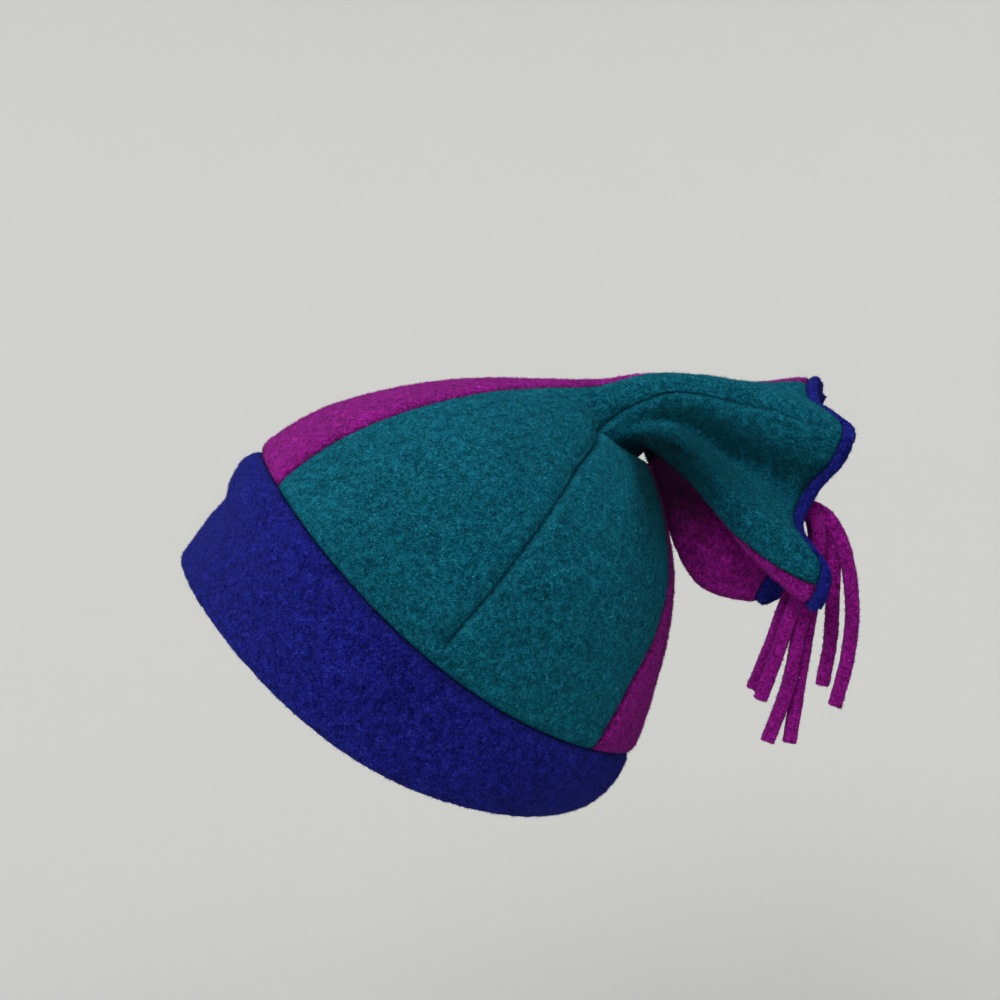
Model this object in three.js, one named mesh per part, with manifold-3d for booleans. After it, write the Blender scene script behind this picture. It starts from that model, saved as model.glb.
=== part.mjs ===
// A fleece hat: a folded brow band, four crown panels that run on past a gathered neck into a
// four-lobed tail, a cap sewn over the tail's end, and a tassel of fleece strips on the cap.
//
// Millimetres, +Z up. The wearer faces -X and the wearer's left side is -Y. The origin is the middle
// of the head inside the hat, level with the seam between band and crown.
//
// The cloth is worked out in the hat's own upright frame and then tipped back as it is worn.
// Girth is an angle round the cloth: 0 at the brow, 90 at the left ear, 180 at the nape, 270 at the
// right ear. Level counts the rings of the cloth from the crown's seam up to the tail's end.

import * as THREE from 'three';
import Module from 'manifold-3d';
import { mergeVertices } from 'three/addons/utils/BufferGeometryUtils.js';

// The seam loop between band and crown, measured outside.
const SEAM_LENGTH = 201;
const SEAM_WIDTH = 160;
const WEAR_TILT = 39.3;

// The loops of the band and crown sink at the sides, most a little behind the ears.
const SIDE_LAG = 7;

// The band is two layers of fleece, folded at its lower edge.
const BAND_HEIGHT = 54;
const BAND_THICKNESS = 6;

// The crown, from its seam to the gathered neck.
const CROWN_HEIGHT = 106.5;
const FLEECE = 3;

// The tail, from the neck to the middle of its end, and the reach of its lobes from its axis.
const TAIL_LENGTH = 84;
const TAIL_REACH = 45;
const TAIL_DROOP = 74.6;

// The cap stands past the panels by its roll, and dips at its middle.
const CAP_ROLL = 5;
const CAP_DIP = 9;
const CAP_SAG = 5.4;

// Seams and darts draw the cloth in.
const SEAM_GAP = 0.4;
const SEAM_DEPTH = 1.1;
const SEAM_SPREAD = 2.4;
const DART_DEPTH = 1.6;
const DART_START = 9;

// The tassel's strips and the knot that they start from.
const STRIP_WIDTH = 6;
const STRIP_THICKNESS = 4.6;
const TASSEL_LENGTH = 100;
const KNOT_RADIUS = 4.5;
const KNOT_DEPTH = 7;

// Rows and columns of each piece's grid.
const SIDE_COLUMNS = 9;
const END_COLUMNS = 5;
const CROWN_ROWS = 12;
const TAIL_ROWS = 12;
const BAND_COLUMNS = 52;
const BAND_ROWS = 7;
const FOLD_STEPS = 4;
const STRIP_STEPS = 14;

const MAGENTA = { color: '#90218a', roughness: 0.95, metalness: 0 };
const TEAL = { color: '#0a5568', roughness: 0.95, metalness: 0 };
const BLUE = { color: '#1c1f78', roughness: 0.95, metalness: 0 };

// Rings of the band and crown. Reaches are shares of half the seam's length, or of half its width at
// the side. Rises are shares of the band's or the crown's height.
const BAND_RINGS = [
  { front: 0.998, frontRise: 0.0, back: 1.0, backRise: 0.0, side: 1.0, sideRise: -0.3 },
  { front: 1.02, frontRise: -0.16, back: 1.01, backRise: -0.14, side: 1.018, sideRise: -0.46 },
  { front: 1.003, frontRise: -0.34, back: 1.017, backRise: -0.29, side: 1.025, sideRise: -0.64 },
  { front: 0.972, frontRise: -0.46, back: 1.008, backRise: -0.41, side: 1.025, sideRise: -0.77 },
  { front: 0.976, frontRise: -0.64, back: 0.988, backRise: -0.52, side: 1.018, sideRise: -0.91 },
  { front: 0.97, frontRise: -0.87, back: 0.938, backRise: -0.64, side: 0.995, sideRise: -1.09 },
  { front: 0.968, frontRise: -0.985, back: 0.895, backRise: -0.68, side: 0.978, sideRise: -1.15 },
];
const CROWN_RINGS = [
  { front: 0.998, frontRise: 0.0, back: 1.0, backRise: 0.0, side: 1.0, sideRise: -0.152 },
  { front: 0.963, frontRise: 0.125, back: 0.965, backRise: 0.105, side: 0.99, sideRise: -0.015 },
  { front: 0.9, frontRise: 0.27, back: 0.9, backRise: 0.255, side: 0.945, sideRise: 0.165 },
  { front: 0.785, frontRise: 0.435, back: 0.81, backRise: 0.44, side: 0.85, sideRise: 0.375 },
  { front: 0.64, frontRise: 0.6, back: 0.685, backRise: 0.62, side: 0.715, sideRise: 0.565 },
  { front: 0.475, frontRise: 0.752, back: 0.54, backRise: 0.757, side: 0.555, sideRise: 0.725 },
  { front: 0.28, frontRise: 0.9, back: 0.4, backRise: 0.86, side: 0.37, sideRise: 0.85 },
  { front: 0.09, frontRise: 1.045, back: 0.26, backRise: 0.95, side: 0.195, sideRise: 0.94 },
];

// Folds of the tail in order of girth, at three stations: near the neck, at the middle and at the end.
// Up and side are shares of the tail's reach. Lead is how far a fold runs past the middle of the end,
// as a share of the tail's length. The left lobe lies at 84, the lower left at 150, the lower right
// at 190, the right at 262 and the top one between 322 and 36.
const TAIL_FOLDS = [
  { girth: 0, nearUp: 0.46, nearSide: 0, midUp: 0.66, midSide: 0.05, endUp: 1.07, endSide: 0.26, lead: -0.2 },
  { girth: 36, nearUp: 0.45, nearSide: -0.2, midUp: 0.67, midSide: -0.14, endUp: 1.02, endSide: 0, lead: -0.23 },
  { girth: 52, nearUp: 0.45, nearSide: -0.29, midUp: 0.69, midSide: -0.3, endUp: 0.84, endSide: -0.22, lead: -0.2 },
  { girth: 68, nearUp: 0.44, nearSide: -0.38, midUp: 0.69, midSide: -0.43, endUp: 0.77, endSide: -0.44, lead: -0.11 },
  { girth: 84, nearUp: 0.4, nearSide: -0.45, midUp: 0.63, midSide: -0.53, endUp: 0.69, endSide: -0.6, lead: -0.03 },
  { girth: 96, nearUp: 0.34, nearSide: -0.5, midUp: 0.48, midSide: -0.58, endUp: 0.55, endSide: -0.68, lead: -0.02 },
  { girth: 109, nearUp: 0.24, nearSide: -0.45, midUp: 0.29, midSide: -0.46, endUp: 0.3, endSide: -0.54, lead: -0.01 },
  { girth: 122, nearUp: 0.12, nearSide: -0.27, midUp: 0.05, midSide: -0.11, endUp: 0, endSide: -0.3, lead: -0.05 },
  { girth: 134, nearUp: -0.04, nearSide: -0.46, midUp: -0.15, midSide: -0.4, endUp: -0.28, endSide: -0.42, lead: -0.03 },
  { girth: 147, nearUp: -0.22, nearSide: -0.52, midUp: -0.41, midSide: -0.6, endUp: -0.55, endSide: -0.7, lead: 0.13 },
  { girth: 160, nearUp: -0.32, nearSide: -0.38, midUp: -0.7, midSide: -0.46, endUp: -0.95, endSide: -0.54, lead: 0.15 },
  { girth: 177, nearUp: -0.34, nearSide: 0, midUp: -0.38, midSide: 0, endUp: -0.57, endSide: 0.02, lead: 0.03 },
  { girth: 190, nearUp: -0.66, nearSide: 0.26, midUp: -1.13, midSide: 0.34, endUp: -1.09, endSide: 0.4, lead: 0.02 },
  { girth: 206, nearUp: -0.44, nearSide: 0.44, midUp: -0.92, midSide: 0.58, endUp: -0.9, endSide: 0.7, lead: 0.1 },
  { girth: 224, nearUp: -0.06, nearSide: 0.46, midUp: -0.36, midSide: 0.5, endUp: -0.42, endSide: 0.52, lead: 0 },
  { girth: 240, nearUp: 0.13, nearSide: 0.43, midUp: 0.04, midSide: 0.33, endUp: 0, endSide: 0.25, lead: -0.1 },
  { girth: 262, nearUp: 0.3, nearSide: 0.48, midUp: 0.45, midSide: 0.54, endUp: 0.52, endSide: 0.6, lead: -0.12 },
  { girth: 290, nearUp: 0.43, nearSide: 0.42, midUp: 0.64, midSide: 0.54, endUp: 0.97, endSide: 0.66, lead: -0.12 },
  { girth: 322, nearUp: 0.46, nearSide: 0.22, midUp: 0.66, midSide: 0.28, endUp: 1.03, endSide: 0.46, lead: -0.17 },
];
const TAIL_STATIONS = [
  { share: 0.24, up: 'nearUp', side: 'nearSide' },
  { share: 0.62, up: 'midUp', side: 'midSide' },
  { share: 1, up: 'endUp', side: 'endSide' },
];

// Where the panels meet, and where the side panels' darts run: the girth of each seam and dart at
// each ring of the crown, and then of the tail.
const FRONT_SEAM_GIRTH = 36;
const DART_GIRTHS = [96, 96, 97, 97.5, 98, 98, 102, 107, 98, 93.5, 92.5];
const BACK_SEAM_GIRTHS = [145, 146, 149, 156, 162, 165, 167, 171, 168, 157, 152.5];

// Profile of the cap from the tail's end to its middle. Inset is a share of the cloth's thickness,
// rise a share of the roll, dip a share of the cap's dip, and scale shrinks the outline to the middle.
const CAP_PROFILE = [
  { inset: 0, rise: 0, dip: 0, scale: 1 },
  { inset: 0.03, rise: 0.55, dip: 0, scale: 1 },
  { inset: 0.35, rise: 0.92, dip: 0, scale: 1 },
  { inset: 0.95, rise: 1.0, dip: 0, scale: 1 },
  { inset: 1.6, rise: 0.92, dip: 0, scale: 1 },
  { inset: 1.6, rise: 0.2, dip: 0.45, scale: 0.64 },
  { inset: 1.6, rise: 0, dip: 0.85, scale: 0.32 },
];

// Strips of the tassel. Fall is a share of the tassel's length, lift is how high a strip arches over
// the knot, and the reaches are how far out it hangs at each share of its fall in STRIP_FALLS.
const STRIP_FALLS = [0.08, 0.25, 0.5, 0.75, 1.0];
const STRIPS = [
  { side: -0.03, fall: 0.84, lift: -0.01, reaches: [0.15, 0.21, 0.235, 0.215, 0.16] },
  { side: 0.03, fall: 0.76, lift: -0.02, reaches: [0.125, 0.165, 0.165, 0.155, 0.12] },
  { side: -0.05, fall: 0.81, lift: -0.02, reaches: [0.085, 0.085, -0.01, -0.08, -0.155] },
  { side: -0.02, fall: 0.99, lift: -0.03, reaches: [0.09, 0.09, 0.02, -0.03, -0.12] },
  { side: 0.02, fall: 1.0, lift: -0.03, reaches: [0.09, 0.1, 0.06, 0.02, -0.02] },
  { side: 0.05, fall: 0.78, lift: -0.02, reaches: [0.08, 0.08, -0.02, -0.09, -0.17] },
];

const radians = THREE.MathUtils.degToRad;
const mix = THREE.MathUtils.lerp;

// A smooth curve through a list of points, at a place counted in points from the first.
function throughPoints(points, place, closed) {
  const count = points.length;
  const start = Math.min(Math.floor(place), closed ? count - 1 : count - 2);
  const t = place - start;
  const pick = (i) => (closed ? points[(i + count) % count] : points[Math.min(Math.max(i, 0), count - 1)]);
  const weights = [
    0.5 * (-t + 2 * t * t - t * t * t),
    0.5 * (2 - 5 * t * t + 3 * t * t * t),
    0.5 * (t + 4 * t * t - 3 * t * t * t),
    0.5 * (t * t * t - t * t),
  ];
  const sum = new THREE.Vector3();
  weights.forEach((weight, k) => sum.addScaledVector(pick(start + k - 1), weight));
  return sum;
}

// A number from a list, at a place counted in entries.
function betweenEntries(list, place) {
  const start = Math.min(Math.floor(place), list.length - 2);
  return mix(list[start], list[start + 1], place - start);
}

// An oval ring of the band or crown: front, side and back each have their own reach and rise.
function ovalPoint(ring, height, girth) {
  const angle = radians(girth);
  const toFront = (1 + Math.cos(angle)) / 2;
  const reach = mix(ring.back, ring.front, toFront) * SEAM_LENGTH / 2;
  const endsRise = mix(ring.backRise, ring.frontRise, toFront);
  const sideShare = Math.sin(angle - radians(SIDE_LAG) * Math.sin(angle)) ** 2;
  const sideDrop = ring.sideRise - (ring.frontRise + ring.backRise) / 2;
  return new THREE.Vector3(
    -reach * Math.cos(angle),
    -ring.side * SEAM_WIDTH / 2 * Math.sin(angle),
    (endsRise + sideDrop * sideShare) * height,
  );
}

// The tail's own axes in the hat's upright frame: along it, up across it, and to the side.
const tailAlong = new THREE.Vector3(Math.sin(radians(TAIL_DROOP)), 0, Math.cos(radians(TAIL_DROOP)));
const tailUp = new THREE.Vector3(-tailAlong.z, 0, tailAlong.x);
const tailSide = new THREE.Vector3(0, 1, 0);
const neckRing = CROWN_RINGS[CROWN_RINGS.length - 1];
const neckCentre = ovalPoint(neckRing, CROWN_HEIGHT, 0).add(ovalPoint(neckRing, CROWN_HEIGHT, 180)).divideScalar(2);

// One fold of the tail at a station. It leaves the neck's outline and reaches its own lead at the end.
function foldPoint(fold, station) {
  const fromNeck = ovalPoint(neckRing, CROWN_HEIGHT, fold.girth).sub(neckCentre);
  return neckCentre
    .clone()
    .addScaledVector(tailAlong, mix(fromNeck.dot(tailAlong), TAIL_LENGTH * (1 + fold.lead), station.share))
    .addScaledVector(tailUp, TAIL_REACH * fold[station.up])
    .addScaledVector(tailSide, TAIL_REACH * fold[station.side]);
}

// The fold that a girth falls on, as a place between the folds.
function foldPlace(girth) {
  const last = TAIL_FOLDS.length - 1;
  const turn = ((girth % 360) + 360) % 360;
  const below = TAIL_FOLDS.findLastIndex((fold) => fold.girth <= turn);
  const next = below === last ? 360 : TAIL_FOLDS[below + 1].girth;
  return below + (turn - TAIL_FOLDS[below].girth) / (next - TAIL_FOLDS[below].girth);
}

// Every ring of the cloth above the band, from the crown's seam to the tail's end.
const tailRings = TAIL_STATIONS.map((station) => TAIL_FOLDS.map((fold) => foldPoint(fold, station)));
const NECK_LEVEL = CROWN_RINGS.length - 1;
const END_LEVEL = NECK_LEVEL + tailRings.length;

function ringPoint(level, girth) {
  if (level <= NECK_LEVEL) return ovalPoint(CROWN_RINGS[level], CROWN_HEIGHT, girth);
  return throughPoints(tailRings[level - NECK_LEVEL - 1], foldPlace(girth), true);
}

// A point of the cloth's outside, before its seams draw it in.
function clothPoint(level, girth) {
  const column = Array.from({ length: END_LEVEL + 1 }, (_, ring) => ringPoint(ring, girth));
  return throughPoints(column, level, false);
}

// The band's outside, from its seam at 0 to its fold at 1.
function bandPoint(share, girth) {
  const column = BAND_RINGS.map((ring) => ovalPoint(ring, BAND_HEIGHT, girth));
  return throughPoints(column, share * (BAND_RINGS.length - 1), false);
}

// The point, the way out, and the way onwards of a surface.
function frameAt(surface, level, girth, lastLevel) {
  const levelStep = 0.02 * Math.sign(lastLevel / 2 - level || 1);
  const girthStep = 0.5;
  const point = surface(level, girth);
  const onwards = surface(level + levelStep, girth).sub(point).multiplyScalar(Math.sign(levelStep)).normalize();
  const around = surface(level, girth + girthStep).sub(surface(level, girth - girthStep)).normalize();
  return { point, onwards, out: around.cross(onwards).normalize() };
}

// How far a seam or dart at a distance draws the cloth in.
function drawnIn(distance, depth) {
  return depth * Math.exp(-((distance / SEAM_SPREAD) ** 2));
}

// Shares from 0 to 1 that lie closer together at both ends.
function closerAtEnds(count) {
  return Array.from({ length: count + 1 }, (_, i) => (1 - Math.cos((Math.PI * i) / count)) / 2);
}

// Two triangles for four corners, split along their shorter diagonal so that facing seams agree.
function quad(points, a, b, c, d) {
  const split = points[a].distanceTo(points[c]) <= points[b].distanceTo(points[d]);
  return split ? [[a, b, c], [a, c, d]] : [[a, b, d], [b, c, d]];
}

// Closed rings of points, joined one to the next. The last ring joins the first, or each end is filled:
// "strip" fills a flat loop that runs out and back, and "fan" fills a loop about its middle.
function solidFromRings(rings, ends) {
  const size = rings[0].length;
  const points = rings.flat();
  const faces = [];
  const steps = ends === 'joined' ? rings.length : rings.length - 1;
  for (let r = 0; r < steps; r += 1) {
    const here = r * size;
    const next = ((r + 1) % rings.length) * size;
    for (let i = 0; i < size; i += 1) {
      const j = (i + 1) % size;
      faces.push(...quad(points, here + i, here + j, next + j, next + i));
    }
  }
  const last = (rings.length - 1) * size;
  if (ends === 'strip') {
    for (let i = 0; i < size / 2 - 1; i += 1) {
      const [a, b, c, d] = [i, i + 1, size - 2 - i, size - 1 - i];
      faces.push(...quad(points, a, d, c, b));
      faces.push(...quad(points, last + a, last + b, last + c, last + d));
    }
  }
  if (ends === 'fan') {
    const middle = (ring) => ring.reduce((sum, p) => sum.add(p), new THREE.Vector3()).divideScalar(size);
    points.push(middle(rings[0]), middle(rings[rings.length - 1]));
    for (let i = 0; i < size; i += 1) {
      const j = (i + 1) % size;
      faces.push([j, i, points.length - 2], [last + i, last + j, points.length - 1]);
    }
  }
  const geometry = new THREE.BufferGeometry();
  geometry.setAttribute('position', new THREE.Float32BufferAttribute(points.flatMap((p) => p.toArray()), 3));
  geometry.setIndex(faces.flat());
  geometry.computeVertexNormals();
  return geometry;
}

function namedMesh(name, geometry, finish) {
  const mesh = new THREE.Mesh(geometry, new THREE.MeshStandardMaterial(finish));
  mesh.name = name;
  return mesh;
}

// The girths of the panels' seams at a level.
const frontSeamLeft = () => FRONT_SEAM_GIRTH;
const frontSeamRight = () => 360 - FRONT_SEAM_GIRTH;
const backSeamLeft = (level) => betweenEntries(BACK_SEAM_GIRTHS, level);
const backSeamRight = (level) => 360 - betweenEntries(BACK_SEAM_GIRTHS, level);
const dartLeft = (level) => betweenEntries(DART_GIRTHS, level);
const dartRight = (level) => 360 - betweenEntries(DART_GIRTHS, level);

// Each panel runs between lines of the cloth. Its first and last are seams, and a middle one is a dart.
const PANELS = [
  { name: 'front_panel', finish: MAGENTA, columns: END_COLUMNS, lines: [(level) => frontSeamRight(level) - 360, () => 0, frontSeamLeft] },
  { name: 'left_panel', finish: TEAL, columns: SIDE_COLUMNS, lines: [frontSeamLeft, dartLeft, backSeamLeft], dart: dartLeft },
  { name: 'back_panel', finish: MAGENTA, columns: END_COLUMNS, lines: [backSeamLeft, () => 180, backSeamRight] },
  { name: 'right_panel', finish: TEAL, columns: SIDE_COLUMNS, lines: [backSeamRight, dartRight, frontSeamRight], dart: dartRight },
];

// The girths of a panel's columns at a level, closer together at its lines.
function columnGirths(panel, level) {
  return panel.lines.slice(1).flatMap((line, i) => {
    const from = panel.lines[i](level);
    const shares = closerAtEnds(panel.columns).slice(i ? 1 : 0);
    return shares.map((share) => mix(from, line(level), share));
  });
}

const panelLevels = [
  ...closerAtEnds(CROWN_ROWS).map((share) => share * NECK_LEVEL),
  ...closerAtEnds(TAIL_ROWS).slice(1).map((share) => mix(NECK_LEVEL, END_LEVEL, share)),
];

// The way from a seam into the cloth on its growing side, square to the seam.
function acrossSeam(line, level, out) {
  const [below, above] = [Math.max(level - 0.02, 0), Math.min(level + 0.02, END_LEVEL)];
  const ahead = clothPoint(above, line(above)).sub(clothPoint(below, line(below))).normalize();
  return ahead.cross(out);
}

// One row of a panel as a loop: along the outside and back along the inside.
function panelLoop(panel, level) {
  const girths = columnGirths(panel, level);
  const first = clothPoint(level, girths[0]);
  const last = clothPoint(level, girths[girths.length - 1]);
  const outside = [];
  const inside = [];
  girths.forEach((girth, i) => {
    const { point, out, onwards } = frameAt(clothPoint, level, girth, END_LEVEL);
    const sideSeam = Math.min(point.distanceTo(first), point.distanceTo(last));
    const endSeam = Math.min(point.distanceTo(clothPoint(0, girth)), point.distanceTo(clothPoint(END_LEVEL, girth)));
    let draw = drawnIn(sideSeam, SEAM_DEPTH) + drawnIn(endSeam, SEAM_DEPTH);
    if (panel.dart) {
      const above = Math.min(point.distanceTo(clothPoint(0, girth)) / DART_START, 1);
      draw += above ** 4 * drawnIn(point.distanceTo(clothPoint(level, panel.dart(level))), DART_DEPTH);
    }
    if (i === 0) point.addScaledVector(acrossSeam(panel.lines[0], level, out), SEAM_GAP / 2);
    if (i === girths.length - 1) point.addScaledVector(acrossSeam(panel.lines[2], level, out), -SEAM_GAP / 2);
    if (level === 0) point.addScaledVector(onwards, SEAM_GAP / 2);
    if (level === END_LEVEL) point.addScaledVector(onwards, -SEAM_GAP / 2);
    inside.unshift(point.clone().addScaledVector(out, -FLEECE));
    outside.push(point.addScaledVector(out, -draw));
  });
  return [...outside, ...inside];
}

function crownPanel(panel) {
  return namedMesh(panel.name, solidFromRings(panelLevels.map((level) => panelLoop(panel, level)), 'strip'), panel.finish);
}

// The band as a loop of fleece: down its outside, round the fold, and up its inside.
function browBand() {
  const shares = closerAtEnds(BAND_ROWS);
  const rings = Array.from({ length: BAND_COLUMNS }, (_, column) => {
    const girth = (360 * column) / BAND_COLUMNS;
    const frames = shares.map((share) => frameAt(bandPoint, share, girth, 1));
    const seam = frameAt(clothPoint, 0, girth, END_LEVEL);
    frames[0] = { point: seam.point.addScaledVector(seam.onwards, -SEAM_GAP / 2), out: seam.out.negate() };
    const outwards = (frame) => frame.out.clone().negate();
    const top = frames[0].point.clone();
    const outside = frames.map((frame) =>
      frame.point.clone().addScaledVector(outwards(frame), -drawnIn(frame.point.distanceTo(top), SEAM_DEPTH)));
    const inside = frames.map((frame) => frame.point.clone().addScaledVector(outwards(frame), -BAND_THICKNESS));
    const edge = frames[frames.length - 1];
    const fold = Array.from({ length: FOLD_STEPS - 1 }, (_, i) => {
      const turn = (Math.PI * (i + 1)) / FOLD_STEPS;
      return edge.point
        .clone()
        .addScaledVector(outwards(edge), (Math.cos(turn) - 1) * BAND_THICKNESS / 2)
        .addScaledVector(edge.onwards, Math.sin(turn) * BAND_THICKNESS / 2);
    });
    return [...outside, ...fold, ...inside.reverse()];
  });
  return namedMesh('brow_band', solidFromRings(rings, 'joined'), BLUE);
}

// The middle of the tail's end, a little under its axis, which the cap's outline shrinks towards.
const endCentre = neckCentre
  .clone()
  .addScaledVector(tailAlong, TAIL_LENGTH)
  .addScaledVector(tailUp, -CAP_SAG);
const endGirths = PANELS.flatMap((panel) => columnGirths(panel, END_LEVEL).slice(0, -1));
const endFrames = endGirths.map((girth) => frameAt(clothPoint, END_LEVEL, girth, END_LEVEL));

// A ring of the cap, at a depth below its outside.
function capRing(row, depth) {
  return endFrames.map(({ point, out, onwards }) => {
    const seam = row.rise === 0 && row.scale === 1 ? SEAM_GAP / 2 : 0;
    const draw = seam && depth === 0 ? SEAM_DEPTH : 0;
    const inset = row.inset * FLEECE + draw + (row.inset < 1 ? depth : 0);
    const sunk = row.rise * CAP_ROLL + seam - row.dip * CAP_DIP - (row.inset < 1 ? 0 : depth);
    return point
      .clone()
      .addScaledVector(out, -inset)
      .sub(endCentre)
      .multiplyScalar(row.scale)
      .add(endCentre)
      .addScaledVector(row.scale > 0.9 ? onwards : tailAlong, sunk);
  });
}

function endCap() {
  const outside = CAP_PROFILE.map((row) => capRing(row, 0));
  const backOfDish = CAP_PROFILE.slice(4).map((row) => capRing(row, FLEECE));
  const insideOfRoll = capRing(CAP_PROFILE[0], FLEECE);
  return namedMesh('end_cap', solidFromRings([...backOfDish.reverse(), insideOfRoll, ...outside], 'fan'), BLUE);
}

// The knot lies in the dip of the cap.
const tilt = radians(WEAR_TILT);
const upright = new THREE.Vector3(0, 1, 0);
const knotCentre = endCentre.clone().addScaledVector(tailAlong, KNOT_RADIUS - KNOT_DEPTH).applyAxisAngle(upright, tilt);

// A strip hangs in the worn frame: from the knot, over its arch, and down to its cut end.
function tasselStrip(strip) {
  const length = TASSEL_LENGTH;
  const points = [knotCentre.clone()];
  points.push(knotCentre.clone().add(new THREE.Vector3(strip.reaches[0] / 2, strip.side / 3, strip.lift).multiplyScalar(length)));
  STRIP_FALLS.forEach((share, i) => {
    const sideways = strip.side * Math.min(1, 0.4 + share);
    points.push(
      knotCentre.clone().add(new THREE.Vector3(strip.reaches[i], sideways, -strip.fall * share).multiplyScalar(length)),
    );
  });
  const path = new THREE.CatmullRomCurve3(points, false, 'centripetal');
  const section = new THREE.Shape();
  const sides = 8;
  for (let i = 0; i < sides; i += 1) {
    const turn = (2 * Math.PI * (i + 0.5)) / sides;
    section[i ? 'lineTo' : 'moveTo'](Math.cos(turn) * STRIP_THICKNESS / 2, Math.sin(turn) * STRIP_WIDTH / 2);
  }
  return new THREE.ExtrudeGeometry(section, { steps: STRIP_STEPS, extrudePath: path, bevelEnabled: false });
}

const wasm = await Module();
wasm.setup();

function manifoldOf(geometry) {
  const bare = geometry.clone();
  bare.deleteAttribute('normal');
  bare.deleteAttribute('uv');
  const merged = mergeVertices(bare, 1e-4);
  return new wasm.Manifold(
    new wasm.Mesh({ numProp: 3, vertProperties: merged.attributes.position.array, triVerts: new Uint32Array(merged.index.array) }),
  );
}

function tassel() {
  const knot = new THREE.SphereGeometry(KNOT_RADIUS, 12, 8).translate(...knotCentre.toArray());
  const joined = STRIPS.reduce((body, strip) => body.add(manifoldOf(tasselStrip(strip))), manifoldOf(knot)).getMesh();
  const geometry = new THREE.BufferGeometry();
  geometry.setAttribute('position', new THREE.BufferAttribute(joined.vertProperties, 3));
  geometry.setIndex(new THREE.BufferAttribute(joined.triVerts, 1));
  geometry.computeVertexNormals();
  return namedMesh('tassel', geometry, MAGENTA);
}

const hat = new THREE.Group();
const cloth = new THREE.Group();
cloth.rotation.y = tilt;
cloth.add(browBand(), ...PANELS.map(crownPanel), endCap());
hat.add(cloth, tassel());

export default hat;
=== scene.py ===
"""Looks of a fleece hat, worn tipped back.

Every sewn piece is lofted again in fine detail over the solid that it stands for: the brow band, the
four panels of the crown and tail, the cap over the tail's end, and the tassel. Each one gets its
seams, its nap and a fleece material.

Shapes are worked out in millimetres, in the hat's own upright frame, and turned to the worn pose when
their mesh is made. Girth is an angle round the cloth: 0 at the brow, 90 at the left ear, 180 at the
nape, 270 at the right ear. Level counts the rings of the cloth from the crown's seam to the tail's end.
"""

import math

import bpy
import numpy as np
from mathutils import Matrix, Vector, noise


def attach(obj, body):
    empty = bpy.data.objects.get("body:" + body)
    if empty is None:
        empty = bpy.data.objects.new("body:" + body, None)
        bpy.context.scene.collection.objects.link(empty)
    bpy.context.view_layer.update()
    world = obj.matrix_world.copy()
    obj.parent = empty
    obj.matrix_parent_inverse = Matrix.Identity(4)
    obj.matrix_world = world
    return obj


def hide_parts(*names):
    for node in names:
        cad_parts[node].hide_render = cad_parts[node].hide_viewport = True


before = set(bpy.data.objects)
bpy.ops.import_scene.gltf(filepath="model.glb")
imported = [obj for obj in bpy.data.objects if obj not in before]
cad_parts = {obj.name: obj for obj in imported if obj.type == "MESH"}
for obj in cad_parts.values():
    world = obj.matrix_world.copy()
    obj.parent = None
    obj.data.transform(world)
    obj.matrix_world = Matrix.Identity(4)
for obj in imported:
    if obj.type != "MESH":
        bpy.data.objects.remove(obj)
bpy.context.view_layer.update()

MM = 0.001

# The hat's own sizes, in mm and degrees.
SEAM_LENGTH = 201
SEAM_WIDTH = 160
WEAR_TILT = math.radians(39.3)
SIDE_LAG = math.radians(7)
BAND_HEIGHT = 54
BAND_THICKNESS = 6
CROWN_HEIGHT = 106.5
FLEECE = 3
TAIL_LENGTH = 84
TAIL_REACH = 45
TAIL_DROOP = math.radians(74.6)
CAP_ROLL = 5
CAP_DIP = 9
CAP_SAG = 5.4
STRIP_WIDTH = 6
STRIP_THICKNESS = 4.6
TASSEL_LENGTH = 100
KNOT_RADIUS = 4.5
KNOT_DEPTH = 7

# Seams and darts: the cloth is drawn in beside them, and its edge rolls under where it is sewn.
SEAM_GAP = 0.16
SEAM_DEPTH = 1.1
SEAM_SPREAD = 2.6
LIP_WIDTH = 1.3
LIP_DEPTH = 1.2
DART_DEPTH = 2.3
DART_START = 9
DART_FRONT_SPREAD = 4.6
DART_BACK_SPREAD = 1.5
DART_SLIT_DEPTH = 1.0
DART_SLIT_WIDTH = 0.85
# Painted shade down the dart's slit.
DART_SHADE = 0.6
DART_SLIT_END = 0.1

# The tuck under the tail's root, where the crown folds in: its ring of the cloth, and the girths over
# which it deepens from either side. Painted shade darkens the tuck's crease and the pocket behind it,
# under the tail.
TUCK_LEVEL = 6.7
TUCK_START = 107
TUCK_FULL = 120
TUCK_DEPTH = 5.2
TUCK_SPREAD = 1.8
TUCK_SHADE_SPREAD = 3.4
POCKET_START = 124
POCKET_FULL = 140
POCKET_SPREAD = 38
HOLLOW_SHADE = 1.9

# Painted shade darkens the valley between the left panel's two lobes.
VALLEY_GIRTH = 117
VALLEY_SPREAD = 8
VALLEY_START = 7.8
VALLEY_SHADE = 0.42

# The band sinks beside its seam more than the panels do, and painted shade darkens the nap down in a
# seam.
BAND_DIP_DEPTH = 1.3
BAND_DIP_SPREAD = 5
SHADE_WIDTH = 1.1
SHADE_DEPTH = 0.85

# The least cloth left under a dent. Beside a seam the nap lies flatter, down to a share of its height.
THINNEST = 1.4
EDGE_FADE = 1.0
EDGE_NAP = 0.25

# Spacing of the fine meshes over the cloth, and beside a seam, and the counts of rows and columns that
# need no such detail.
DETAIL = 0.91
SEAM_STEP = 0.3
SEAM_STEPS = 5
INSIDE_COLUMNS = 24
INSIDE_ROW_STEP = 4
LINE_SAMPLES = 500
WIDTH_SAMPLES = 24
WIDTH_LEVEL_STEP = 8
BAND_FLARE = 1.02
BAND_FOLD_STEPS = 14
LEVEL_STEP = 0.02
GIRTH_STEP = 0.5

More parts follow.
